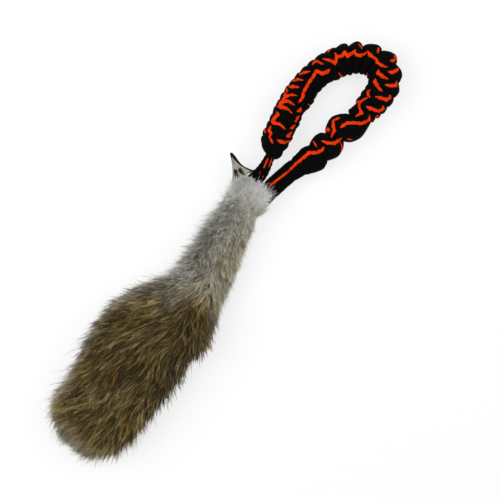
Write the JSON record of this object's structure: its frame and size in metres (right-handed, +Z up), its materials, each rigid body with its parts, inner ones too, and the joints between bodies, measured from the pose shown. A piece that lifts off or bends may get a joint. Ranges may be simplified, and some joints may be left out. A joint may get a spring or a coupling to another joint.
{
  "type": "bungee tug toy",
  "caption": "Dog tug toy: a stuffed rabbit-skin body that narrows to a neck, on a hand loop of webbing gathered over elastic cord, with a bare hide flap.",
  "frame": {"origin": "centre of the bounding box on the floor that the toy lies on", "axes": "+X runs along the toy from the fur's tail end to the hand loop, +Y to its left side seen from above, +Z up from the floor"},
  "size_m": [0.6222, 0.1285, 0.0572],
  "materials": {
    "brown_fur": "olive brown rabbit fur on hide",
    "grey_fur": "mottled grey rabbit fur on hide",
    "suede": "bare tanned hide, flesh side",
    "black_webbing": "black tubular webbing with two orange tracers",
    "core_webbing": "flat woven webbing",
    "elastic": "braided elastic cord",
    "fibre": "loose stuffing fibre",
    "thread": "waxed sewing thread"
  },
  "bodies": {
    "neck": {"pelt_neck": "grey_fur", "pelt_bend": "brown_fur", "filling_neck": "fibre", "core_neck": "core_webbing", "core_bend": "core_webbing", "seam_neck": "thread", "strap_end_left": "black_webbing", "strap_end_right": "black_webbing", "strap_left": "black_webbing", "strap_right": "black_webbing", "anchor_stitch_left": "thread", "anchor_stitch_right": "thread"},
    "body": {"pelt_body": "brown_fur", "pelt_fold": "brown_fur", "filling_body": "fibre", "core_body": "core_webbing", "core_fold": "core_webbing", "seam_body": "thread"},
    "tail": {"pelt_tail": "brown_fur", "filling_tail": "fibre", "core_tail": "core_webbing", "seam_tail": "thread"},
    "handle": {"sleeve_left": "black_webbing", "sleeve_right": "black_webbing", "bungee_left": "elastic", "bungee_right": "elastic", "bar_tack_left": "thread", "bar_tack_right": "thread"},
    "grip": {"sleeve_grip": "black_webbing", "bungee_grip": "elastic"},
    "flap": {"pelt_flap": "suede", "flap_backing": "black_webbing", "flap_stitch_front": "thread", "flap_stitch_rear": "thread"}
  },
  "joints": [
    {"name": "body_bend", "type": "hinge", "parent": "neck", "child": "body", "pos_m": [-0.07363, -0.00838, 0], "axis": [0, 0, 1], "range_deg": [-40, 40], "deforming": ["pelt_bend", "core_bend"]},
    {"name": "tail_lift", "type": "hinge", "parent": "body", "child": "tail", "pos_m": [-0.19585, 0, 0.02813], "axis": [0, 1, 0], "range_deg": [0, 60], "deforming": ["pelt_fold", "core_fold"]},
    {"name": "handle_lift", "type": "hinge", "parent": "neck", "child": "handle", "pos_m": [0.1005, 0, 0.0195], "axis": [0, -1, 0], "range_deg": [0, 110], "deforming": ["strap_left", "strap_right"]},
    {"name": "bungee_stretch", "type": "slide", "parent": "handle", "child": "grip", "axis": [1, 0, 0], "range_m": [0, 0.075], "stiffness_N_per_m": 150, "deforming": ["sleeve_left", "sleeve_right", "bungee_left", "bungee_right"]},
    {"name": "flap_lift", "type": "hinge", "parent": "neck", "child": "flap", "pos_m": [0.0675, 0.0362, 0.0195], "axis": [0.9414, -0.3373, 0], "range_deg": [0, 70]}
  ]
}
